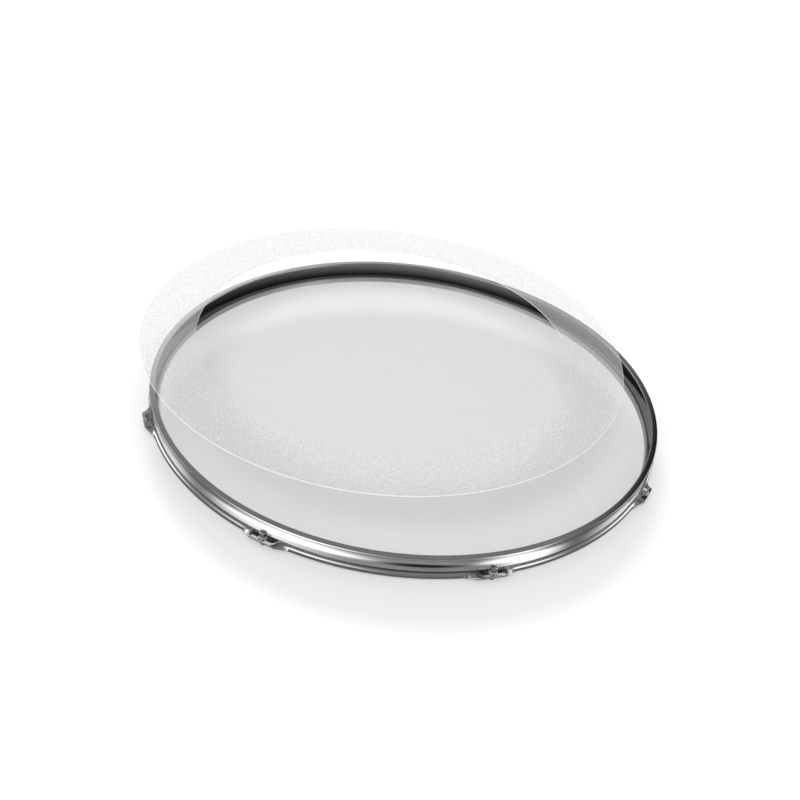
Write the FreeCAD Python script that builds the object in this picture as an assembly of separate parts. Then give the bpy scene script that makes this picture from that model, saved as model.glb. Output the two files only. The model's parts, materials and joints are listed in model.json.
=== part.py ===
import FreeCAD, Part
import math
import os

# Drum head for a fourteen inch drum: a film set in a flesh hoop, a steel counter hoop
# with key-headed tension rods in its ears, and a loose damping ring that lies on the film.
# Millimetres and degrees. The shell's axis is Z, and the flesh hoop stands on the plane z = 0.

# Flesh hoop: a U channel, open at the top, that the shell passes into
channel_inner_radius = 181.0
channel_width = 4.2
channel_height = 3.9
channel_wall = 0.6
channel_edge_round = 0.3

# Film, and the resin that holds its edge in the channel
film_thickness = 0.25
film_bend_radius = 0.7
film_root_depth = 2.4

# Counter hoop: one rolled section with a rim flange, a coved wall, a bearing step and a skirt
hoop_sheet = 1.6
hoop_rise = 13.1
rim_set = 2.8
rim_width = 4.6
root_flare = 0.9
waist_wall = 0.9
waist_rise = 7.7
knee_rise = 3.7
foot_flare = 1.3
step_flat = 0.3
skirt_gap = 0.8
skirt_drop = 2.7
rim_inner_round = 0.7
rim_outer_round = 0.75
rim_root_round = 1.0
waist_round = 4.0
knee_round = 20.0
step_root_round = 0.4
step_root_share = 0.95
step_outer_round = 2.0
skirt_bend_radius = 0.4
lip_edge_round = 0.4

# Ears: the skirt turned up flat at each tension rod
rod_count = 8
first_rod_angle = 21.0
ear_flat_width = 14.0
ear_run_width = 12.5
ear_margin = 0.15
ear_taper_power = 3

# Tension rods and their washers
shank_diameter = 3.4
neck_diameter = 3.0
thread_ear_gap = 0.2
ear_hole_gap = 0.35
washer_diameter = 6.0
washer_thickness = 0.8
washer_hole_gap = 0.3
washer_foot_gap = 1.3
collar_diameter = 5.6
collar_height = 1.0
key_square = 4.0
key_height = 4.0
key_corner_cut = 0.35
key_top_chamfer = 0.5
shank_floor_gap = 0.5
shank_point = 0.6

# Damping ring, lifted off and held to one side above the rim
ring_edge_gap = 9.0
ring_band = 38.0
ring_thickness = 0.5
ring_lift = 40.5
ring_shift_x = -19.9
ring_shift_y = -7.3

# Chords in the skirt's bend, outlines along an ear's twisted run, and the match of an end plane
bend_chords = 3
run_outlines = 7
end_face_tolerance = 0.001

# Radii and heights that follow from the sizes above
channel_outer_radius = channel_inner_radius + channel_width
film_root_radius = channel_inner_radius + channel_wall + film_bend_radius
film_bend_height = channel_height + film_thickness / 2 - film_bend_radius
film_root_height = channel_height - film_root_depth
rim_inner_radius = channel_outer_radius - rim_set
rim_outer_radius = rim_inner_radius + rim_width
skirt_inner_radius = channel_outer_radius + skirt_gap
step_under = channel_height
step_top = step_under + hoop_sheet
rim_top = step_under + hoop_rise
rim_under = rim_top - hoop_sheet
skirt_edge = step_under - skirt_drop
bend_middle_radius = skirt_bend_radius + hoop_sheet / 2
bend_length = bend_middle_radius * math.pi / 2
lip_start_radius = skirt_inner_radius - skirt_bend_radius
foot_outer_radius = lip_start_radius - step_flat
knee_outer_radius = foot_outer_radius - foot_flare
knee_height = step_top + knee_rise
waist_outer_radius = rim_inner_radius + waist_wall
waist_height = step_top + waist_rise
rim_root_radius = waist_outer_radius + root_flare
foot_half_turn = (math.pi / 2 - math.atan2(foot_flare, knee_rise)) / 2
foot_round = min(step_root_round, step_root_share * step_flat / math.tan(foot_half_turn))
washer_radius = washer_diameter / 2
rod_circle_radius = foot_outer_radius + washer_foot_gap + washer_radius
ear_edge_radius = rod_circle_radius + washer_radius + ear_margin
skirt_length = step_under + hoop_sheet / 2 - bend_middle_radius - skirt_edge
ear_length = ear_edge_radius - lip_start_radius - bend_length
ear_flat_angle = math.degrees(ear_flat_width / rod_circle_radius)
ear_run_angle = math.degrees(ear_run_width / rod_circle_radius)
rod_step_angle = 360.0 / rod_count
washer_top = step_top + washer_thickness
collar_top = washer_top + collar_height
key_top = collar_top + key_height
ring_outer_radius = channel_inner_radius - ring_edge_gap
ring_inner_radius = ring_outer_radius - ring_band
ring_under = rim_top + ring_lift

origin = FreeCAD.Vector(0, 0, 0)
up = FreeCAD.Vector(0, 0, 1)


def section_point(radius, height):
    return FreeCAD.Vector(radius, 0, height)


def rounded_outline(corners):
    """Closed outline in the XZ plane through (radius, height, rounding) corners."""
    points = [section_point(r, z) for r, z, rounding in corners]
    starts = []
    ends = []
    middles = []
    for index, (r, z, rounding) in enumerate(corners):
        corner = points[index]
        to_last = (points[index - 1] - corner).normalize()
        to_next = (points[(index + 1) % len(points)] - corner).normalize()
        if rounding == 0:
            starts.append(corner)
            ends.append(corner)
            middles.append(None)
            continue
        half_angle = to_last.getAngle(to_next) / 2
        reach = rounding / math.tan(half_angle)
        bisector = (to_last + to_next).normalize()
        starts.append(corner + to_last * reach)
        ends.append(corner + to_next * reach)
        middles.append(corner + bisector * (rounding / math.sin(half_angle) - rounding))
    edges = []
    for index in range(len(corners)):
        if middles[index] is not None:
            edges.append(Part.Arc(starts[index], middles[index], ends[index]).toShape())
        edges.append(Part.LineSegment(ends[index], starts[(index + 1) % len(corners)]).toShape())
    return Part.Wire(edges)


def turned(corners, start_angle=0.0, sweep=360.0):
    """Solid of revolution of an outline about Z."""
    face = Part.Face(rounded_outline(corners))
    face.rotate(origin, up, start_angle)
    return face.revolve(origin, up, sweep)


def around_axis(shape, angle):
    copy = shape.copy()
    copy.rotate(origin, up, angle)
    return copy


def rod_place(index):
    return first_rod_angle + index * rod_step_angle


def save(shape, node):
    shape.exportStep("parts/" + node + ".step")


# Flesh hoop channel
def flesh_hoop():
    floor_inside = channel_wall
    inner_wall = channel_inner_radius + channel_wall
    outer_wall = channel_outer_radius - channel_wall
    return turned([
        (channel_inner_radius, 0, 0),
        (channel_outer_radius, 0, channel_edge_round),
        (channel_outer_radius, channel_height, 0),
        (outer_wall, channel_height, 0),
        (outer_wall, floor_inside, 0),
        (inner_wall, floor_inside, 0),
        (inner_wall, channel_height, 0),
        (channel_inner_radius, channel_height, 0),
    ])


# Film: a flat disc that turns down over the channel's inner wall into the resin
def head_film():
    half = film_thickness / 2
    under = channel_height
    top = channel_height + film_thickness
    outer_bend = film_bend_radius + half
    inner_bend = film_bend_radius - half
    return turned([
        (0, under, 0),
        (film_root_radius - half, under, inner_bend),
        (film_root_radius - half, film_root_height, 0),
        (film_root_radius + half, film_root_height, 0),
        (film_root_radius + half, top, outer_bend),
        (0, top, 0),
    ])


# Resin bead: fills the channel round the film's edge, up to where the film starts to bend
def resin_bead(film):
    inner_wall = channel_inner_radius + channel_wall
    outer_wall = channel_outer_radius - channel_wall
    bead = turned([
        (inner_wall, channel_wall, 0),
        (outer_wall, channel_wall, 0),
        (outer_wall, film_bend_height, 0),
        (inner_wall, film_bend_height, 0),
    ])
    return bead.cut(film)


# Counter hoop outline, with its outer lip turned down by lip_turn degrees
def hoop_corners(lip_turn, lip_length):
    middle_height = step_under + hoop_sheet / 2
    half = hoop_sheet / 2
    over = []
    under = []
    for chord in range(bend_chords + 1):
        share = chord / bend_chords
        heading = math.radians(lip_turn) * share
        if lip_turn > 0:
            bend = bend_length / math.radians(lip_turn)
            run = bend * math.sin(heading)
            fall = bend * (1 - math.cos(heading))
        else:
            run = bend_length * share
            fall = 0
        radius = lip_start_radius + run
        height = middle_height - fall
        over.append((radius + half * math.sin(heading), height + half * math.cos(heading), 0))
        under.append((radius - half * math.sin(heading), height - half * math.cos(heading), 0))
    tip_run = lip_length * math.cos(heading)
    tip_fall = lip_length * math.sin(heading)
    tip_over = (over[-1][0] + tip_run, over[-1][1] - tip_fall, lip_edge_round)
    tip_under = (under[-1][0] + tip_run, under[-1][1] - tip_fall, lip_edge_round)
    return [
        (rim_inner_radius, rim_top, rim_inner_round),
        (rim_outer_radius, rim_top, rim_outer_round),
        (rim_outer_radius, rim_under, rim_outer_round),
        (rim_root_radius, rim_under, rim_root_round),
        (waist_outer_radius, waist_height, waist_round),
        (knee_outer_radius, knee_height, knee_round),
        (foot_outer_radius, step_top, foot_round),
        *over,
        tip_over,
        tip_under,
        *reversed(under),
        (rim_inner_radius, step_under, step_outer_round),
    ]


# One run from the flat ear to the skirt, lofted through outlines that shorten as they turn down
def ear_run(direction):
    outlines = []
    for index in range(run_outlines):
        share = index / (run_outlines - 1)
        eased = share * share * (3 - 2 * share)
        ear_share = (1 - eased) ** ear_taper_power
        lip_length = skirt_length + (ear_length - skirt_length) * ear_share
        outline = rounded_outline(hoop_corners(90.0 * eased, lip_length))
        angle = ear_flat_angle / 2 + ear_run_angle * share
        outline.rotate(origin, up, direction * angle)
        outlines.append(outline)
    return Part.makeLoft(outlines, True, False)


# Faces of a stretch of the hoop without its two flat ends, which lie in planes through the axis
def skin_faces(stretch):
    faces = []
    for face in stretch.Faces:
        centre = face.CenterOfMass
        along = up.cross(FreeCAD.Vector(centre.x, centre.y, 0).normalize())
        if face.normalAt(0, 0).cross(along).Length > end_face_tolerance:
            faces.append(face)
    return faces


# Counter hoop: a flat ear, two runs and a skirt at each rod, sewn into one ring and drilled
def counter_hoop():
    skirt_start = ear_flat_angle / 2 + ear_run_angle
    skirt_sweep = rod_step_angle - 2 * skirt_start
    ear = turned(hoop_corners(0.0, ear_length), -ear_flat_angle / 2, ear_flat_angle)
    skirt = turned(hoop_corners(90.0, skirt_length), skirt_start, skirt_sweep)
    faces = []
    for stretch in (ear, ear_run(1), skirt, ear_run(-1)):
        for index in range(rod_count):
            faces.extend(skin_faces(around_axis(stretch, rod_place(index))))
    skin = Part.makeCompound(faces)
    skin.sewShape()
    ring = Part.Solid(skin.Shells[0]).removeSplitter()
    hole_radius = shank_diameter / 2 + ear_hole_gap
    hole_start = section_point(rod_circle_radius, step_under - hoop_sheet)
    hole = Part.makeCylinder(hole_radius, 3 * hoop_sheet, hole_start, up)
    holes = [around_axis(hole, rod_place(index)) for index in range(rod_count)]
    return ring.cut(Part.makeCompound(holes)).Solids[0]


# Washer under a rod's collar, on the ear at angle 0
def rod_washer():
    place = section_point(rod_circle_radius, step_top)
    hole_radius = shank_diameter / 2 + washer_hole_gap
    disc = Part.makeCylinder(washer_radius, washer_thickness, place, up)
    return disc.cut(Part.makeCylinder(hole_radius, washer_thickness, place, up))


# Tension rod on the ear at angle 0: square key head, round collar, plain neck and a pointed thread
def tension_rod():
    key_radius = key_square / math.sqrt(2) - key_corner_cut
    key_stock = turned([
        (0, collar_top, 0),
        (key_radius, collar_top, 0),
        (key_radius, key_top - key_top_chamfer, 0),
        (key_radius - key_top_chamfer, key_top, 0),
        (0, key_top, 0),
    ])
    corner = FreeCAD.Vector(-key_square / 2, -key_square / 2, collar_top)
    key = key_stock.common(Part.makeBox(key_square, key_square, key_height, corner))
    thread_top = step_under - thread_ear_gap
    body = turned([
        (0, shank_floor_gap, 0),
        (shank_diameter / 2 - shank_point, shank_floor_gap, 0),
        (shank_diameter / 2, shank_floor_gap + shank_point, 0),
        (shank_diameter / 2, thread_top, 0),
        (neck_diameter / 2, thread_top, 0),
        (neck_diameter / 2, washer_top, 0),
        (collar_diameter / 2, washer_top, 0),
        (collar_diameter / 2, collar_top, 0),
        (0, collar_top, 0),
    ])
    rod = body.fuse(key).removeSplitter()
    rod.translate(section_point(rod_circle_radius, 0))
    return rod


# Damping ring: a flat plastic band, level above the rim
def damping_ring():
    edge = ring_thickness / 4
    ring = turned([
        (ring_inner_radius, ring_under, edge),
        (ring_outer_radius, ring_under, edge),
        (ring_outer_radius, ring_under + ring_thickness, edge),
        (ring_inner_radius, ring_under + ring_thickness, edge),
    ])
    ring.translate(FreeCAD.Vector(ring_shift_x, ring_shift_y, 0))
    return ring


os.makedirs("parts", exist_ok=True)
film = head_film()
save(flesh_hoop(), "flesh_hoop")
save(film, "head_film")
save(resin_bead(film), "resin_bead")
save(counter_hoop(), "counter_hoop")
save(damping_ring(), "damping_ring")
washer = rod_washer()
rod = tension_rod()
for index in range(rod_count):
    number = str(index + 1)
    save(around_axis(washer, rod_place(index)), "rod_washer_" + number)
    save(around_axis(rod, rod_place(index)), "tension_rod_" + number)
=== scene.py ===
import json
import math

import bmesh
import bpy
from mathutils import Matrix, Vector


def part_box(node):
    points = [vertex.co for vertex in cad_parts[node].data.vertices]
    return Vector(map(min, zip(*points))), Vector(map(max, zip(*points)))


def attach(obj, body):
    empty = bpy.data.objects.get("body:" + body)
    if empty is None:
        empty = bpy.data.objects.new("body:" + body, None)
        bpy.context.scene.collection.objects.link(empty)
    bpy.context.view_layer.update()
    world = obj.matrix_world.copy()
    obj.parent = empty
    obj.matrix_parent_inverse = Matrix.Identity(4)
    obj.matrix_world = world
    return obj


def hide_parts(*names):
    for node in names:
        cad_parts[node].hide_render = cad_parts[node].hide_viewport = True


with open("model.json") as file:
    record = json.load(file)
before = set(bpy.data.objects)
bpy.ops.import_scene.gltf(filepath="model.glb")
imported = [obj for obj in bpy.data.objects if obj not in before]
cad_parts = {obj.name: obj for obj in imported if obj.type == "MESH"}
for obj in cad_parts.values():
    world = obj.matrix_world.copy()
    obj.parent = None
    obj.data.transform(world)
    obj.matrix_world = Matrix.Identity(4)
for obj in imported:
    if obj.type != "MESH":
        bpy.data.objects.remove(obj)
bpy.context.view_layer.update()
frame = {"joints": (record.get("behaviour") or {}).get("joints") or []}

# Flesh hoop: the channel that carries the film's edge and is drawn down over the shell.
# Thin aluminium strip, rolled into a U with its mouth up and welded into a ring.
mm = 0.001
channel_outer_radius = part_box("flesh_hoop")[1].x
channel_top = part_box("flesh_hoop")[1].z
channel_width = 4.2 * mm
channel_wall = 0.6 * mm
channel_edge_round = 0.25 * mm
channel_mouth_round = channel_wall / 3
channel_steps = 360
channel_light = (0.66, 0.67, 0.68, 1.0)
channel_dark = (0.52, 0.53, 0.54, 1.0)
channel_polish = (0.28, 0.42)
channel_marks = {"Round": 12.0, "Across": 4000.0, "Haze Size": 45.0}
channel_mark_depth = 0.02 * mm


def rounded_path(corners, arc_steps=5):
    """Points of a closed outline through (radius, height, rounding) corners."""
    path = []
    for index, (radius, height, rounding) in enumerate(corners):
        corner = Vector((radius, height))
        if rounding == 0:
            path.append(corner)
            continue
        to_last = (Vector(corners[index - 1][:2]) - corner).normalized()
        to_next = (Vector(corners[(index + 1) % len(corners)][:2]) - corner).normalized()
        half_angle = to_last.angle(to_next) / 2
        reach = rounding / math.tan(half_angle)
        centre = corner + (to_last + to_next).normalized() * (rounding / math.sin(half_angle))
        start = corner + to_last * reach - centre
        end = corner + to_next * reach - centre
        turn = math.atan2(start.cross(end), start.dot(end))
        for step in range(arc_steps + 1):
            path.append(centre + Matrix.Rotation(turn * step / arc_steps, 2) @ start)
    return path


def new_piece(name, points, faces):
    """Mesh object with its faces turned outwards."""
    mesh = bpy.data.meshes.new(name)
    mesh.from_pydata(points, [], faces)
    shaping = bmesh.new()
    shaping.from_mesh(mesh)
    bmesh.ops.recalc_face_normals(shaping, faces=shaping.faces)
    shaping.to_mesh(mesh)
    shaping.free()
    piece = bpy.data.objects.new(name, mesh)
    bpy.context.scene.collection.objects.link(piece)
    return piece


def ring_through(name, sections):
    """Closed ring through (angle, outline) sections round the Z axis."""
    count = len(sections[0][1])
    points = []
    faces = []
    for index, (angle, outline) in enumerate(sections):
        here = index * count
        there = (index + 1) % len(sections) * count
        for spot, (radius, height) in enumerate(outline):
            beside = (spot + 1) % count
            points.append((radius * math.cos(angle), radius * math.sin(angle), height))
            faces.append((here + spot, there + spot, there + beside, here + beside))
    return new_piece(name, points, faces)


def turned_ring(name, outline, steps):
    """Ring of one outline turned about the Z axis."""
    return ring_through(name, [(math.tau * step / steps, outline) for step in range(steps)])


def shade_soft(piece, crisp_angle):
    """Smooth shading that leaves the edges over an angle crisp."""
    piece.data.shade_smooth()
    piece.data.set_sharp_from_angle(angle=math.radians(crisp_angle))


def shade_metal(piece, crisp_angle=35.0):
    """Smooth shading in which flat faces stay flat and sharp edges stay crisp."""
    shade_soft(piece, crisp_angle)
    weighting = piece.modifiers.new("flat_faces", "WEIGHTED_NORMAL")
    weighting.keep_sharp = True


def put(tree, kind, inputs=None, **settings):
    """Node with its settings, and its inputs set to values or linked to sockets."""
    node = tree.nodes.new(kind)
    for key, value in settings.items():
        setattr(node, key, value)
    for key, value in (inputs or {}).items():
        if isinstance(value, bpy.types.NodeSocket):
            tree.links.new(value, node.inputs[key])
        else:
            node.inputs[key].default_value = value
    return node


def maths(tree, operation, *values):
    """Result of a sum on values or sockets."""
    return put(tree, "ShaderNodeMath", dict(enumerate(values)), operation=operation).outputs[0]


def vectors(tree, operation, *values):
    """Node of a sum on places or directions."""
    return put(tree, "ShaderNodeVectorMath", dict(enumerate(values)), operation=operation)


def ranged(tree, value, start, end, low=0.0, high=1.0, easing="LINEAR"):
    """A value between a start and an end, carried over to between low and high."""
    span = {"Value": value, "From Min": start, "From Max": end, "To Min": low, "To Max": high}
    return put(tree, "ShaderNodeMapRange", span, interpolation_type=easing).outputs[0]


def noise(tree, place, size, detail):
    """Cloudy pattern with a number of patches to the metre."""
    return put(tree, "ShaderNodeTexNoise", {"Vector": place, "Scale": size, "Detail": detail}).outputs[0]


def blended(tree, share, first, last):
    """Colour at a share of the way from a first to a last one."""
    colours = {"Factor": share, "A": first, "B": last}
    return put(tree, "ShaderNodeMix", colours, data_type="RGBA").outputs["Result"]


def effect_group(name, inputs, outputs):
    """Shader node group with named value sockets, and its two end nodes."""
    group = bpy.data.node_groups.new(name, "ShaderNodeTree")
    for label, value in inputs.items():
        socket = group.interface.new_socket(label, in_out="INPUT", socket_type="NodeSocketFloat")
        socket.default_value = value
    for label in outputs:
        group.interface.new_socket(label, in_out="OUTPUT", socket_type="NodeSocketFloat")
    return group, put(group, "NodeGroupInput"), put(group, "NodeGroupOutput")


def turning_marks():
    """Fine marks that run round the Z axis, and a cloudy haze from handling."""
    mark_detail = 3.0
    mark_start = 0.42
    mark_end = 0.78
    haze_detail = 4.0
    haze_start = 0.35
    haze_end = 0.7
    group, given, result = effect_group(
        "turning_marks", {"Round": 20.0, "Across": 2500.0, "Haze Size": 30.0}, ["Marks", "Haze"])
    place = put(group, "ShaderNodeTexCoord").outputs["Object"]
    flat = vectors(group, "MULTIPLY", place, (1, 1, 0)).outputs[0]
    heading = vectors(group, "NORMALIZE", flat).outputs[0]
    radius = vectors(group, "LENGTH", flat).outputs["Value"]
    height = put(group, "ShaderNodeSeparateXYZ", {0: place}).outputs["Z"]
    turn = {0: heading, "Scale": given.outputs["Round"]}
    around = put(group, "ShaderNodeVectorMath", turn, operation="SCALE").outputs[0]
    across = maths(group, "MULTIPLY", maths(group, "ADD", radius, height), given.outputs["Across"])
    lift = put(group, "ShaderNodeCombineXYZ", {"Z": across}).outputs[0]
    along = vectors(group, "ADD", around, lift).outputs[0]
    streaks = noise(group, along, 1.0, mark_detail)
    cloud = noise(group, place, given.outputs["Haze Size"], haze_detail)
    group.links.new(ranged(group, streaks, mark_start, mark_end), result.inputs["Marks"])
    group.links.new(ranged(group, cloud, haze_start, haze_end), result.inputs["Haze"])
    return group


marks_group = turning_marks()


def new_finish(name):
    """Material, its node tree and its shader."""
    material = bpy.data.materials.new(name)
    material.use_nodes = True
    return material, material.node_tree, material.node_tree.nodes["Principled BSDF"]


def metal_finish(name, light, dark, polish, marks, mark_depth):
    """Bare or plated metal: its haze dulls and darkens it, and its marks catch the light."""
    mark_dullness = 0.03
    mark_strength = 0.25
    material, tree, shader = new_finish(name)
    wear = put(tree, "ShaderNodeGroup", marks, node_tree=marks_group)
    tone = blended(tree, wear.outputs["Haze"], light, dark)
    dull = ranged(tree, wear.outputs["Haze"], 0.0, 1.0, *polish)
    gloss = maths(tree, "MULTIPLY_ADD", wear.outputs["Marks"], mark_dullness, dull)
    scratches = {"Height": wear.outputs["Marks"], "Strength": mark_strength, "Distance": mark_depth}
    relief = put(tree, "ShaderNodeBump", scratches).outputs[0]
    shader.inputs["Metallic"].default_value = 1.0
    tree.links.new(tone, shader.inputs["Base Color"])
    tree.links.new(gloss, shader.inputs["Roughness"])
    tree.links.new(relief, shader.inputs["Normal"])
    return material


inner_wall = channel_outer_radius - channel_width
channel_outline = rounded_path([
    (inner_wall, 0, channel_edge_round),
    (channel_outer_radius, 0, channel_edge_round),
    (channel_outer_radius, channel_top, channel_mouth_round),
    (channel_outer_radius - channel_wall, channel_top, channel_mouth_round),
    (channel_outer_radius - channel_wall, channel_wall, channel_edge_round),
    (inner_wall + channel_wall, channel_wall, channel_edge_round),
    (inner_wall + channel_wall, channel_top, channel_mouth_round),
    (inner_wall, channel_top, channel_mouth_round),
], arc_steps=2)
channel = turned_ring("flesh_hoop_channel", channel_outline, channel_steps)
shade_metal(channel)
channel.data.materials.append(metal_finish(
    "rolled_aluminium", channel_light, channel_dark, channel_polish, channel_marks, channel_mark_depth))
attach(channel, "head")
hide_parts("flesh_hoop")

# Film: the playing surface, a thin clear polyester disc with a slight haze.
# Its edge is pressed down over the channel's inner wall and set in the resin.
film_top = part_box("head_film")[1].z
film_root_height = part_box("head_film")[0].z
film_thickness = 0.25 * mm
half_film = film_thickness / 2
film_bend_radius = 0.7 * mm
film_bend_steps = 5
film_root_radius = inner_wall + channel_wall + film_bend_radius
film_steps = 180
film_crisp_angle = 35.0
film_tint = (0.5, 0.505, 0.51, 1.0)
film_speck_tint = (0.58, 0.58, 0.58, 1.0)
film_veil = (0.1455, 0.1465)
film_speck_veil = 0.02
film_roughness = 0.4
film_grain = {"Speck Size": 1500.0, "Cloud Size": 7.0}


def turned_disc(name, profile, steps):
    """Solid of a profile that starts and ends on the Z axis, with fans at its two ends."""
    points = [(0, 0, profile[0][1]), (0, 0, profile[-1][1])]
    faces = []
    rows = profile[1:-1]
    for step in range(steps):
        angle = math.tau * step / steps
        here = 2 + step * len(rows)
        there = 2 + (step + 1) % steps * len(rows)
        for radius, height in rows:
            points.append((radius * math.cos(angle), radius * math.sin(angle), height))
        faces.append((0, here, there))
        faces.append((1, there + len(rows) - 1, here + len(rows) - 1))
        for row in range(len(rows) - 1):
            faces.append((here + row, here + row + 1, there + row + 1, there + row))
    return new_piece(name, points, faces)


def sheet_grain():
    """Fine specks in a clear sheet, and the wide soft cloud of its haze."""
    speck_detail = 1.0
    speck_start = 0.3
    speck_end = 0.7
    cloud_detail = 3.0
    cloud_start = 0.2
    cloud_end = 0.8
    group, given, result = effect_group(
        "sheet_grain", {"Speck Size": 1300.0, "Cloud Size": 9.0}, ["Specks", "Cloud"])
    place = put(group, "ShaderNodeTexCoord").outputs["Object"]
    fine = noise(group, place, given.outputs["Speck Size"], speck_detail)
    wide = noise(group, place, given.outputs["Cloud Size"], cloud_detail)
    group.links.new(ranged(group, fine, speck_start, speck_end), result.inputs["Specks"])
    group.links.new(ranged(group, wide, cloud_start, cloud_end), result.inputs["Cloud"])
    return group


grain_group = sheet_grain()


def sheet_finish(name, tint, speck_tint, veil, speck_veil, roughness, grain_sizes, back_veil=1.0):
    """Clear plastic: each face veils what is behind it a little, more so at its specks."""
    speck_strength = 0.1
    speck_height = 0.02 * mm
    material, tree, shader = new_finish(name)
    grain = put(tree, "ShaderNodeGroup", grain_sizes, node_tree=grain_group)
    specks = grain.outputs["Specks"]
    tone = blended(tree, specks, tint, speck_tint)
    haze = ranged(tree, grain.outputs["Cloud"], 0.0, 1.0, *veil)
    cover = maths(tree, "MULTIPLY_ADD", specks, speck_veil, haze)
    from_behind = put(tree, "ShaderNodeNewGeometry").outputs["Backfacing"]
    side = ranged(tree, from_behind, 0.0, 1.0, 1.0, back_veil)
    seen = maths(tree, "MULTIPLY", cover, side)
    bumps = {"Height": specks, "Strength": speck_strength, "Distance": speck_height}
    relief = put(tree, "ShaderNodeBump", bumps).outputs[0]
    shader.inputs["Roughness"].default_value = roughness
    tree.links.new(tone, shader.inputs["Base Color"])
    tree.links.new(seen, shader.inputs["Alpha"])
    tree.links.new(relief, shader.inputs["Normal"])
    return material


bend_centre = Vector((film_root_radius - film_bend_radius, film_top - half_film - film_bend_radius))


def film_bend(radius):
    """Points of one face of the bend at the film's edge, from its root up to the flat."""
    bend = []
    for step in range(film_bend_steps + 1):
        heading = math.pi / 2 * step / film_bend_steps
        offset = Vector((math.cos(heading), math.sin(heading))) * radius
        bend.append(tuple(bend_centre + offset))
    return bend


film_profile = [
    (0, film_top - film_thickness),
    *reversed(film_bend(film_bend_radius - half_film)),
    (film_root_radius - half_film, film_root_height),
    (film_root_radius + half_film, film_root_height),
    *film_bend(film_bend_radius + half_film),
    (0, film_top),
]
film = turned_disc("clear_film_disc", film_profile, film_steps)
shade_soft(film, film_crisp_angle)
film.data.materials.append(sheet_finish(
    "hazy_film", film_tint, film_speck_tint, film_veil, film_speck_veil, film_roughness, film_grain))
film.visible_glossy = False
film.visible_shadow = False
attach(film, "head")
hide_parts("head_film")

# Resin bead: poured round the film's edge in the channel, where it sets hard and nearly black.
# It is what the film's pull is held by.
resin_top = bend_centre.y
resin_edge = 0.1 * mm
resin_crisp_angle = 50.0
resin_light = (0.11, 0.11, 0.115, 1.0)
resin_deep = (0.05, 0.05, 0.055, 1.0)
resin_gloss = (0.15, 0.35)
resin_grain = {"Speck Size": 700.0, "Cloud Size": 120.0}


def resin_finish():
    """Set resin: dark, glossy and a little cloudy."""
    material, tree, shader = new_finish("set_resin")
    grain = put(tree, "ShaderNodeGroup", resin_grain, node_tree=grain_group)
    tone = blended(tree, grain.outputs["Cloud"], resin_light, resin_deep)
    gloss = ranged(tree, grain.outputs["Specks"], 0.0, 1.0, *resin_gloss)
    tree.links.new(tone, shader.inputs["Base Color"])
    tree.links.new(gloss, shader.inputs["Roughness"])
    return material


resin_outline = rounded_path([
    (film_root_radius + half_film, channel_wall, resin_edge),
    (channel_outer_radius - channel_wall, channel_wall, resin_edge),
    (channel_outer_radius - channel_wall, resin_top, resin_edge),
    (film_root_radius + half_film, resin_top, resin_edge),
], arc_steps=2)
resin = turned_ring("set_resin_bead", resin_outline, channel_steps)
shade_soft(resin, resin_crisp_angle)
resin.data.materials.append(resin_finish())
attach(resin, "head")
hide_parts("resin_bead")

# Counter hoop: presses the flesh hoop down. One steel sheet, roll formed into a rim flange, a coved
# wall, a bearing step and a skirt, with the skirt turned out flat at eight drilled ears, then chromed.
hoop_sheet = 1.6 * mm
rim_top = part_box("counter_hoop")[1].z
rim_under = rim_top - hoop_sheet
step_under = channel_top
step_top = step_under + hoop_sheet
rim_set = 2.8 * mm
rim_width = 4.6 * mm
skirt_gap = 0.8 * mm
skirt_bend_radius = 0.4 * mm
step_flat = 0.3 * mm
foot_flare = 1.3 * mm
knee_rise = 3.7 * mm
waist_wall = 0.9 * mm
waist_rise = 7.7 * mm
root_flare = 0.9 * mm
rim_inner_radius = channel_outer_radius - rim_set
rim_outer_radius = rim_inner_radius + rim_width
lip_start_radius = channel_outer_radius + skirt_gap - skirt_bend_radius
foot_outer_radius = lip_start_radius - step_flat
knee_outer_radius = foot_outer_radius - foot_flare
knee_height = step_top + knee_rise
waist_outer_radius = rim_inner_radius + waist_wall
waist_height = step_top + waist_rise
rim_root_radius = waist_outer_radius + root_flare
rim_inner_round = 0.7 * mm
rim_edge_slope = 0.3 * mm
rim_edge_round = 0.35 * mm
rim_root_round = 1.0 * mm
waist_round = 4.0 * mm
knee_round = 20.0 * mm
foot_round = 0.4 * mm
step_outer_round = 2.0 * mm
lip_edge_round = 0.4 * mm
bend_middle_radius = skirt_bend_radius + hoop_sheet / 2
bend_length = bend_middle_radius * math.pi / 2
skirt_length = 2.3 * mm
ear_margin = 0.15 * mm
ear_flat_width = 14.0 * mm
ear_run_width = 12.5 * mm
ear_taper_power = 3
ear_hole_radius = 2.05 * mm
drill_depth = 3 * hoop_sheet
drill_steps = 40
bend_steps = 8
flat_steps = 8
run_steps = 12
skirt_steps = 60
chrome_light = (0.63, 0.635, 0.645, 1.0)
chrome_dark = (0.56, 0.565, 0.575, 1.0)
hoop_polish = (0.05, 0.08)
hoop_marks = {"Round": 30.0, "Across": 3500.0, "Haze Size": 35.0}
hoop_mark_depth = 0.004 * mm

rod_joints = [joint for joint in frame["joints"] if joint["name"].startswith("rod_")]
rod_places = [Vector(joint["pos_m"][:2]) for joint in rod_joints]
rod_angles = [math.atan2(place.y, place.x) for place in rod_places]
rod_circle_radius = rod_places[0].length
washer_low, washer_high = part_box("rod_washer_1")
washer_radius = (washer_high.x - washer_low.x) / 2
ear_length = rod_circle_radius + washer_radius + ear_margin - lip_start_radius - bend_length
flat_angle = ear_flat_width / rod_circle_radius
run_angle = ear_run_width / rod_circle_radius
skirt_angle = math.tau / len(rod_joints) - flat_angle - 2 * run_angle


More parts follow.
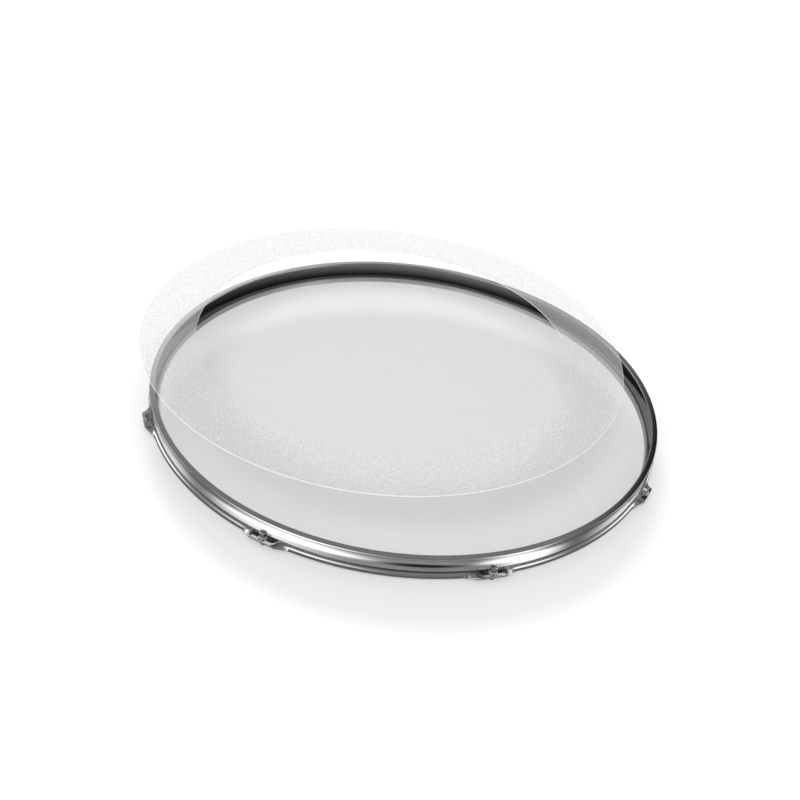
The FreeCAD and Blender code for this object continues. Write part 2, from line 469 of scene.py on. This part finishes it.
def hoop_outline(lip_turn, lip_length):
    """The hoop's section, with its outer lip turned down by an angle."""
    half = hoop_sheet / 2
    over = []
    under = []
    for step in range(bend_steps + 1):
        share = step / bend_steps
        heading = lip_turn * share
        run = bend_length * share
        fall = 0
        if lip_turn > 0:
            run = bend_length / lip_turn * math.sin(heading)
            fall = bend_length / lip_turn * (1 - math.cos(heading))
        middle = Vector((lip_start_radius + run, step_under + half - fall))
        outward = Vector((math.sin(heading), math.cos(heading))) * half
        over.append(middle + outward)
        under.append(middle - outward)
    along = Vector((math.cos(lip_turn), -math.sin(lip_turn))) * lip_length
    return rounded_path([
        (rim_inner_radius, rim_top, rim_inner_round),
        (rim_outer_radius - rim_edge_slope, rim_top, rim_edge_round),
        (rim_outer_radius, rim_under, rim_edge_round),
        (rim_root_radius, rim_under, rim_root_round),
        (waist_outer_radius, waist_height, waist_round),
        (knee_outer_radius, knee_height, knee_round),
        (foot_outer_radius, step_top, foot_round),
        *[(point.x, point.y, 0) for point in over],
        (*(over[-1] + along), lip_edge_round),
        (*(under[-1] + along), lip_edge_round),
        *[(point.x, point.y, 0) for point in reversed(under)],
        (rim_inner_radius, step_under, step_outer_round),
    ])


def run_outline(share):
    """The section at a share of the way from a flat ear to the skirt."""
    eased = share * share * (3 - 2 * share)
    ear_share = (1 - eased) ** ear_taper_power
    return hoop_outline(math.pi / 2 * eased, skirt_length + (ear_length - skirt_length) * ear_share)


def hoop_sections():
    """Sections all round the hoop: at each rod a flat ear, a run, the skirt and a run."""
    runs = [run_outline(step / run_steps) for step in range(run_steps + 1)]
    stretches = [
        (flat_angle, [runs[0]] * flat_steps),
        (run_angle, runs[:-1]),
        (skirt_angle, [runs[-1]] * skirt_steps),
        (run_angle, runs[:0:-1]),
    ]
    sections = []
    for rod_angle in rod_angles:
        start = rod_angle - flat_angle / 2
        for angle, outlines in stretches:
            for step, outline in enumerate(outlines):
                sections.append((start + angle * step / len(outlines), outline))
            start += angle
    return sections


def ear_drills():
    """One mesh of eight round cutters, each through the middle of an ear."""
    drill = bmesh.new()
    for place in rod_places:
        seat = Matrix.Translation((place.x, place.y, step_under + hoop_sheet / 2))
        bmesh.ops.create_cone(
            drill, cap_ends=True, segments=drill_steps, radius1=ear_hole_radius, radius2=ear_hole_radius,
            depth=drill_depth, matrix=seat)
    mesh = bpy.data.meshes.new("ear_drills")
    drill.to_mesh(mesh)
    drill.free()
    drills = bpy.data.objects.new("ear_drills", mesh)
    bpy.context.scene.collection.objects.link(drills)
    return drills


hoop = ring_through("chromed_counter_hoop", hoop_sections())
drills = ear_drills()
drilling = hoop.modifiers.new("ear_holes", "BOOLEAN")
drilling.object = drills
drilling.solver = "EXACT"
drilled = bpy.data.meshes.new_from_object(hoop.evaluated_get(bpy.context.evaluated_depsgraph_get()))
hoop.modifiers.clear()
hoop.data = drilled
bpy.data.objects.remove(drills)
shade_metal(hoop)
hoop.visible_shadow = False
hoop.data.materials.append(metal_finish(
    "bright_chrome_plate", chrome_light, chrome_dark, hoop_polish, hoop_marks, hoop_mark_depth))
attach(hoop, "hoop")
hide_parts("counter_hoop")

# Rod washers: spread each rod's pull on its ear. Punched from plated steel strip,
# with the punch's soft edge on top, and laid loose between the ear and the rod's collar.
washer_round = 0.2 * mm
washer_under_round = washer_round / 4
washer_hole_radius = 2.0 * mm
washer_steps = 64
washer_light = (0.58, 0.58, 0.59, 1.0)
washer_dark = (0.42, 0.42, 0.43, 1.0)
washer_polish = (0.16, 0.3)
washer_marks = {"Round": 3.0, "Across": 9000.0, "Haze Size": 300.0}
washer_mark_depth = 0.01 * mm
washer_outline = rounded_path([
    (washer_hole_radius, washer_low.z, washer_under_round),
    (washer_radius, washer_low.z, washer_under_round),
    (washer_radius, washer_high.z, washer_round),
    (washer_hole_radius, washer_high.z, washer_round),
], arc_steps=3)
washer_metal = metal_finish(
    "punched_steel", washer_light, washer_dark, washer_polish, washer_marks, washer_mark_depth)
for index, place in enumerate(rod_places):
    washer = turned_ring("punched_washer_" + str(index + 1), washer_outline, washer_steps)
    washer.location = (place.x, place.y, 0)
    washer.data.materials.append(washer_metal)
    shade_metal(washer)
    washer.visible_glossy = False
    washer.visible_shadow = False
    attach(washer, "hoop")
    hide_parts("rod_washer_" + str(index + 1))

# Tension rods: draw the hoop down when a key turns them. Cold headed steel with a square head on a round
# collar, a plain neck and a rolled thread, chromed all over and dropped through the ears.
rod_low, rod_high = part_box("tension_rod_1")
neck_radius = 1.5 * mm
thread_radius = 1.7 * mm
thread_depth = 0.3 * mm
thread_pitch = 0.6 * mm
thread_point = 0.6 * mm
thread_gap = 0.2 * mm
thread_top = step_under - thread_gap
thread_rows_per_turn = 8
collar_radius = 2.8 * mm
collar_height = 1.0 * mm
collar_round = 0.35 * mm
collar_top = washer_high.z + collar_height
key_half = 2.0 * mm
key_corner_cut = 0.35 * mm
key_corner_radius = key_half * math.sqrt(2) - key_corner_cut
key_foot_flare = 0.1 * mm
key_foot_rise = 0.15 * mm
key_top_chamfer = 0.5 * mm
key_edge = 0.18 * mm
key_edge_middle = 0.3 * key_edge
corner_angle = math.acos(key_half / key_corner_radius)
side_steps = 8
corner_steps = 4
rod_crisp_angle = 28.0
rod_polish = (0.06, 0.12)
rod_marks = {"Round": 2.0, "Across": 7000.0, "Haze Size": 400.0}
rod_mark_depth = 0.006 * mm


def key_headings():
    """Headings round the key that put points on both edges of its four cut corners."""
    headings = []
    for side in range(4):
        middle = side * math.pi / 2
        headings.extend(middle + corner_angle * (2 * step / side_steps - 1) for step in range(side_steps))
        cut = math.pi / 2 - 2 * corner_angle
        headings.extend(middle + corner_angle + cut * step / corner_steps for step in range(corner_steps))
    return headings


def round_row(radius, height):
    """A round row with as many points as the key has headings."""
    return [(radius, height)] * len(key_headings())


def key_row(inset, corner_inset, height):
    """A row round the square key, drawn in from its sides and its corners."""
    row = []
    for heading in key_headings():
        side = (key_half - inset) / max(abs(math.cos(heading)), abs(math.sin(heading)))
        row.append((min(side, key_corner_radius - corner_inset), height))
    return row


def thread_row(height):
    """A row of the rolled thread, whose ridge climbs one pitch in each turn."""
    row = []
    for heading in key_headings():
        phase = (height / thread_pitch - heading / math.tau) % 1.0
        ridge = thread_radius - thread_depth * abs(2 * phase - 1)
        point = thread_radius - thread_point + (height - rod_low.z)
        row.append((min(ridge, point), height))
    return row


def rod_rows():
    """Rows from the thread's point up to the key's top."""
    rows = []
    thread_length = thread_top - rod_low.z
    thread_rows = round(thread_length / thread_pitch * thread_rows_per_turn)
    for step in range(thread_rows + 1):
        rows.append(thread_row(rod_low.z + thread_length * step / thread_rows))
    rows.append(round_row(neck_radius, thread_top + thread_depth / 2))
    rows.append(round_row(neck_radius, washer_high.z))
    collar = rounded_path([
        (neck_radius, washer_high.z, 0),
        (collar_radius, washer_high.z, collar_round / 2),
        (collar_radius, collar_top, collar_round),
        (key_half, collar_top, 0),
    ], arc_steps=4)
    rows.extend(round_row(radius, height) for radius, height in collar[1:-1])
    rows.append(key_row(-key_foot_flare, -key_foot_flare, collar_top))
    rows.append(key_row(0, 0, collar_top + key_foot_rise))
    rows.append(key_row(0, 0, rod_high.z - key_top_chamfer))
    rows.append(key_row(0, key_top_chamfer - key_edge, rod_high.z - key_edge))
    rows.append(key_row(key_edge_middle, key_top_chamfer, rod_high.z - key_edge_middle))
    rows.append(key_row(key_edge, key_top_chamfer + key_edge, rod_high.z))
    return rows


def rod_piece(name):
    """A closed mesh through the rod's rows, with a fan at each end."""
    rows = rod_rows()
    headings = key_headings()
    count = len(headings)
    points = []
    faces = []
    for row in rows:
        points.extend((radius * math.cos(heading), radius * math.sin(heading), height)
                      for heading, (radius, height) in zip(headings, row))
    for row in range(len(rows) - 1):
        for spot in range(count):
            beside = (spot + 1) % count
            here = row * count
            faces.append((here + spot, here + beside, here + count + beside, here + count + spot))
    last = (len(rows) - 1) * count
    points.extend([(0, 0, rod_low.z), (0, 0, rod_high.z)])
    for spot in range(count):
        beside = (spot + 1) % count
        faces.append((len(points) - 2, beside, spot))
        faces.append((len(points) - 1, last + spot, last + beside))
    return new_piece(name, points, faces)


rod_metal = metal_finish(
    "rod_chrome_plate", chrome_light, chrome_dark, rod_polish, rod_marks, rod_mark_depth)
for index, place in enumerate(rod_places):
    rod = rod_piece("key_headed_rod_" + str(index + 1))
    rod.location = (place.x, place.y, 0)
    rod.rotation_euler = (0, 0, rod_angles[index])
    rod.data.materials.append(rod_metal)
    shade_metal(rod, rod_crisp_angle)
    rod.visible_glossy = False
    rod.visible_shadow = False
    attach(rod, rod_joints[index]["child"])
    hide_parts("tension_rod_" + str(index + 1))

# Damping ring: a loose flat band that is laid on the film to dry its sound, shown lifted off to one side.
# Die cut from clear plastic sheet with a fine grain; its cut edge is painted near white, a painted highlight
# where the edge catches the light.
ring_low, ring_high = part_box("damping_ring")
ring_centre = (ring_low + ring_high) / 2
ring_outer_radius = (ring_high.x - ring_low.x) / 2
ring_band = 38.0 * mm
ring_inner_radius = ring_outer_radius - ring_band
ring_edge_round = 0.12 * mm
ring_edge_band = 0.25 * mm
ring_steps = 480
ring_crisp_angle = 50.0
ring_tint = (0.95, 0.95, 0.95, 1.0)
ring_speck_tint = (0.53, 0.525, 0.52, 1.0)
ring_veil = (0.085, 0.095)
ring_speck_veil = 0.2
ring_roughness = 0.35
ring_grain = {"Speck Size": 1150.0, "Cloud Size": 12.0}
# Painted highlight on the cut edge: its two tones, how much it hides, its gloss and its grain.
cut_edge_light = (0.98, 0.98, 0.98, 1.0)
cut_edge_dark = (0.9, 0.9, 0.9, 1.0)
cut_edge_veil = (0.75, 0.85)
cut_edge_speck_veil = 0.1
cut_edge_roughness = 0.5
cut_edge_grain = {"Speck Size": 900.0, "Cloud Size": 60.0}
ring_outline = rounded_path([
    (ring_inner_radius, ring_low.z, ring_edge_round),
    (ring_outer_radius, ring_low.z, ring_edge_round),
    (ring_outer_radius, ring_high.z, ring_edge_round),
    (ring_outer_radius - ring_edge_band, ring_high.z, 0),
    (ring_inner_radius + ring_edge_round, ring_high.z, 0),
    (ring_inner_radius, ring_high.z, ring_edge_round / 2),
], arc_steps=2)
ring = turned_ring("clear_damping_ring", ring_outline, ring_steps)
ring.location = (ring_centre.x, ring_centre.y, 0)
shade_soft(ring, ring_crisp_angle)
ring.data.materials.append(sheet_finish(
    "grained_clear_sheet", ring_tint, ring_speck_tint, ring_veil, ring_speck_veil, ring_roughness,
    ring_grain))
ring.data.materials.append(sheet_finish(
    "cut_edge_painted_highlight", cut_edge_dark, cut_edge_light, cut_edge_veil, cut_edge_speck_veil, cut_edge_roughness,
    cut_edge_grain, back_veil=0.0))
# The painted highlight covers the cut edges and a thin band of the top beside the outer edge.
for face in ring.data.polygons:
    face_radius = face.center.xy.length
    if not ring_inner_radius + ring_edge_round < face_radius < ring_outer_radius - ring_edge_band:
        face.material_index = 1
ring.visible_glossy = False
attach(ring, "ring")
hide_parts("damping_ring")

# Floor: the studio's plain white paper, which the head lies on.
# Its colour is painted a little greyer under the head, as a soft round shadow.
floor_half = 6.0
floor_white = (0.97, 0.97, 0.97, 1.0)
# Painted shadow: its grey, and the middle, inner and outer radius of its soft round patch.
painted_floor_shadow = (0.81, 0.81, 0.81, 1.0)
floor_roughness = 0.9
shade_middle = (0.007, -0.0485, 0.0)
shade_inner_radius = 0.167
shade_outer_radius = 0.196


def flat_sheet(name, points):
    """Object of one flat face through the points."""
    mesh = bpy.data.meshes.new(name)
    mesh.from_pydata(points, [], [tuple(range(len(points)))])
    sheet = bpy.data.objects.new(name, mesh)
    bpy.context.scene.collection.objects.link(sheet)
    return sheet


def floor_finish():
    """White paper with a soft round shadow painted into its colour."""
    material, tree, shader = new_finish("floor_paint")
    spot = put(tree, "ShaderNodeTexCoord").outputs["Object"]
    # Painted shadow mask: full grey within the inner radius, fading to white by the outer one.
    reach = vectors(tree, "DISTANCE", spot, shade_middle).outputs["Value"]
    fall = ranged(tree, reach, shade_inner_radius, shade_outer_radius, easing="SMOOTHERSTEP")
    shader.inputs["Roughness"].default_value = floor_roughness
    shader.inputs["Specular IOR Level"].default_value = 0.0
    tree.links.new(blended(tree, fall, painted_floor_shadow, floor_white), shader.inputs["Base Color"])
    return material


floor = flat_sheet("floor", [
    (-floor_half, -floor_half, 0),
    (floor_half, -floor_half, 0),
    (floor_half, floor_half, 0),
    (-floor_half, floor_half, 0),
])
floor.data.materials.append(floor_finish())
floor.visible_glossy = False

# Dark card: a painted reflection that lies below the film and is only seen mirrored in the hoop's inner
# wall.
# It is a round sheet that glows faintly and is darker towards its edge, as painted shade near the wall.
# Painted reflection: the card's size, its painted shade at the edge and its painted glow further in.
card_radius = 0.1755
card_dark = 0.012
card_light = 0.26
card_dark_radius = 0.174
card_light_radius = 0.148


def painted_reflection_finish():
    """Black card with a painted glow that fades towards its edge, as painted shade near the wall."""
    material, tree, shader = new_finish("painted_reflection_glow")
    spot = put(tree, "ShaderNodeTexCoord").outputs["Object"]
    reach = vectors(tree, "LENGTH", spot).outputs["Value"]
    glow = ranged(tree, reach, card_light_radius, card_dark_radius, card_light, card_dark, "SMOOTHSTEP")
    shader.inputs["Base Color"].default_value = (0.0, 0.0, 0.0, 1.0)
    shader.inputs["Specular IOR Level"].default_value = 0.0
    shader.inputs["Emission Color"].default_value = (1.0, 1.0, 1.0, 1.0)
    tree.links.new(glow, shader.inputs["Emission Strength"])
    return material


card_angles = [math.tau * step / channel_steps for step in range(channel_steps)]
card = flat_sheet("painted_reflection_card", [
    (card_radius * math.cos(angle), card_radius * math.sin(angle), channel_wall) for angle in card_angles])
card.data.materials.append(painted_reflection_finish())
card.visible_camera = False
card.visible_diffuse = False
card.visible_shadow = False
card.visible_transmission = False

# Key lamp: a broad soft lamp above and in front of the head.
# The chrome doesn't mirror it, because the room's soft boxes are there for that.
key_strength = 1.5
key_spread = 20.0
key_from = (-0.2, -0.7, 1.0)
key_light = bpy.data.lights.new("key_light", "SUN")
key_light.energy = key_strength
key_light.angle = math.radians(key_spread)
key_lamp = bpy.data.objects.new("key_lamp", key_light)
key_lamp.location = key_from
key_lamp.rotation_euler = (-Vector(key_from)).to_track_quat("-Z", "Y").to_euler()
key_lamp.visible_glossy = False
bpy.context.scene.collection.objects.link(key_lamp)

# Room: an even pale sky that lights the head, and a dim room with soft boxes and flags that only
# the chrome mirrors. It darkens towards the ground in two soft steps.
sky_strength = 0.72
room_above = 0.265
room_low = 0.19
room_nadir = 0.015
half_bounce = 0.5
high_step_start = math.radians(-15.0)
high_step_end = math.radians(10.0)
low_step_start = math.radians(-68.0)
low_step_end = math.radians(-40.0)
# Each soft box: azimuth and elevation of its middle, half width, half height and strength, in degrees.
soft_boxes = {
    "back panel": (93.0, 28.5, 11.0, 5.0, 0.34),
    "back left panel": (105.0, 30.8, 8.0, 4.5, 0.5),
    "right flag": (72.0, 35.0, 5.5, 7.5, -0.26),
    "top flag": (0.0, 90.0, 400.0, 24.0, -0.17),
    "left box": (-130.0, -16.3, 33.0, 10.3, 2.1),
    "left high box": (-130.0, 14.0, 33.0, 16.0, 1.6),
    "left side box": (160.0, 2.0, 24.0, 24.0, 1.6),
    "right box": (-34.0, -16.3, 17.0, 10.3, 2.1),
    "right high box": (-34.0, 14.0, 17.0, 16.0, 1.6),
    "right side box": (22.0, 1.0, 24.0, 24.0, 1.6),
    "right low flag": (22.0, -29.0, 26.0, 6.5, -0.17),
    "front panel": (-80.0, -14.0, 34.0, 19.0, 0.22),
    "camera shade": (-76.0, -12.5, 19.0, 7.0, -0.4),
}
room = bpy.data.worlds.new("studio_room")
bpy.context.scene.world = room
room.use_nodes = True
room_tree = room.node_tree
direction = put(room_tree, "ShaderNodeTexCoord").outputs["Generated"]
gaze = put(room_tree, "ShaderNodeSeparateXYZ", {0: direction}).outputs
azimuth = maths(room_tree, "ARCTAN2", gaze["Y"], gaze["X"])
elevation = maths(room_tree, "ARCSINE", gaze["Z"])
low_room = ranged(room_tree, elevation, low_step_start, low_step_end, room_nadir, room_low, "SMOOTHSTEP")
brightness = ranged(room_tree, elevation, high_step_start, high_step_end, low_room, room_above, "SMOOTHSTEP")


def away(angle, middle, half):
    """Square of how far an angle lies from a soft box's middle, in half sizes."""
    offset = maths(room_tree, "SUBTRACT", angle, math.radians(middle))
    turned = maths(room_tree, "WRAP", offset, math.pi, -math.pi)
    share = maths(room_tree, "DIVIDE", turned, math.radians(half))
    return maths(room_tree, "MULTIPLY", share, share)


for box_azimuth, box_elevation, half_width, half_height, strength in soft_boxes.values():
    aside = away(azimuth, box_azimuth, half_width)
    above = away(elevation, box_elevation, half_height)
    distance = maths(room_tree, "ADD", aside, above)
    fall = maths(room_tree, "MULTIPLY", distance, distance)
    glow = maths(room_tree, "EXPONENT", maths(room_tree, "MULTIPLY", fall, -1.0))
    brightness = maths(room_tree, "MULTIPLY_ADD", glow, strength, brightness)
brightness = maths(room_tree, "MAXIMUM", brightness, room_nadir)
light_path = put(room_tree, "ShaderNodeLightPath")
unlit = maths(room_tree, "LESS_THAN", light_path.outputs["Diffuse Depth"], half_bounce)
mirrored = maths(room_tree, "MULTIPLY", light_path.outputs["Is Glossy Ray"], unlit)
levels = {"Factor": mirrored, "A": sky_strength, "B": brightness}
level = put(room_tree, "ShaderNodeMix", levels, data_type="FLOAT").outputs["Result"]
backdrop = maths(room_tree, "MAXIMUM", level, light_path.outputs["Is Camera Ray"])
room_tree.links.new(backdrop, room_tree.nodes["Background"].inputs["Color"])

# Camera: stands in front of the head and above it, tilted down and rolled to one side,
# with the photograph's angle of view.
camera_place = (-0.00355, -0.70288, 0.49714)
camera_tilt = 35.15
camera_roll = 7.61
camera_lens = 51.56
camera_sensor = 36.0
lens = bpy.data.cameras.new("photo_camera")
lens.lens = camera_lens
lens.sensor_width = camera_sensor
camera = bpy.data.objects.new("photo_camera", lens)
tilt = Matrix.Rotation(math.radians(90.0 - camera_tilt), 4, "X")
roll = Matrix.Rotation(math.radians(camera_roll), 4, "Z")
camera.matrix_world = Matrix.Translation(camera_place) @ tilt @ roll
bpy.context.scene.collection.objects.link(camera)
bpy.context.scene.camera = camera
bpy.context.scene.view_settings.view_transform = "Standard"
